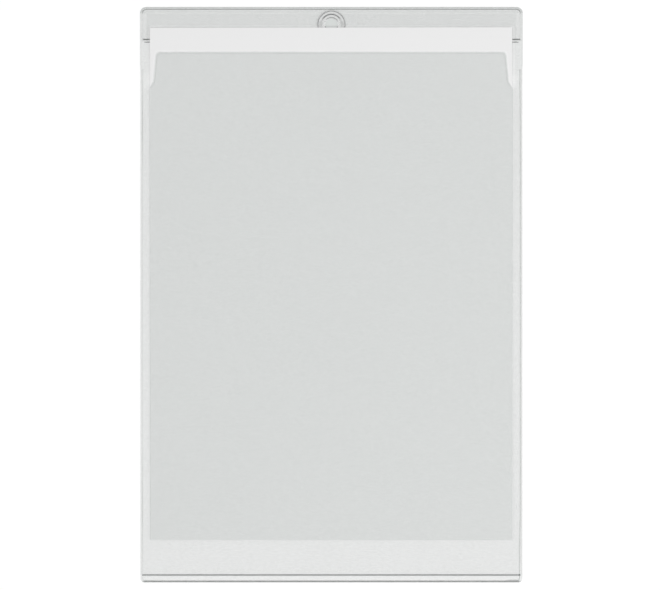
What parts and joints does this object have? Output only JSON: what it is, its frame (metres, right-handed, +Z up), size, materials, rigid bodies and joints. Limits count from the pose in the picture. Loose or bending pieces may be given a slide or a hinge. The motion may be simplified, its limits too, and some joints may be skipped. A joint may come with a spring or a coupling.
{
  "type": "plastic document sleeve",
  "caption": "Flat clear film sleeve for an A4 sheet, open at the top under a stiffened header with a ringed hang hole, welded on three sides.",
  "frame": {"origin": "centre of the underside of the sleeve as it lies on its back", "axes": "+Z up, out of the front film; +Y along the sleeve toward the hang hole; +X to the right seen from the front"},
  "size_m": [0.222, 0.334, 0.0014],
  "materials": {
    "clear_back_film": "smooth clear PVC film, very slightly green",
    "clear_header_film": "smooth clear PVC film, very slightly green",
    "clear_ring": "clear moulded ring, glossy",
    "sheet_paper": "plain light grey sheet, matt and even",
    "clear_front_film": "clear PVC film with a very fine anti-glare grain"
  },
  "bodies": {
    "root": {"back_panel": "clear_back_film", "header_strip": "clear_header_film", "hang_eyelet": "clear_ring", "insert_sheet": "sheet_paper", "front_panel": "clear_front_film"}
  },
  "joints": []
}
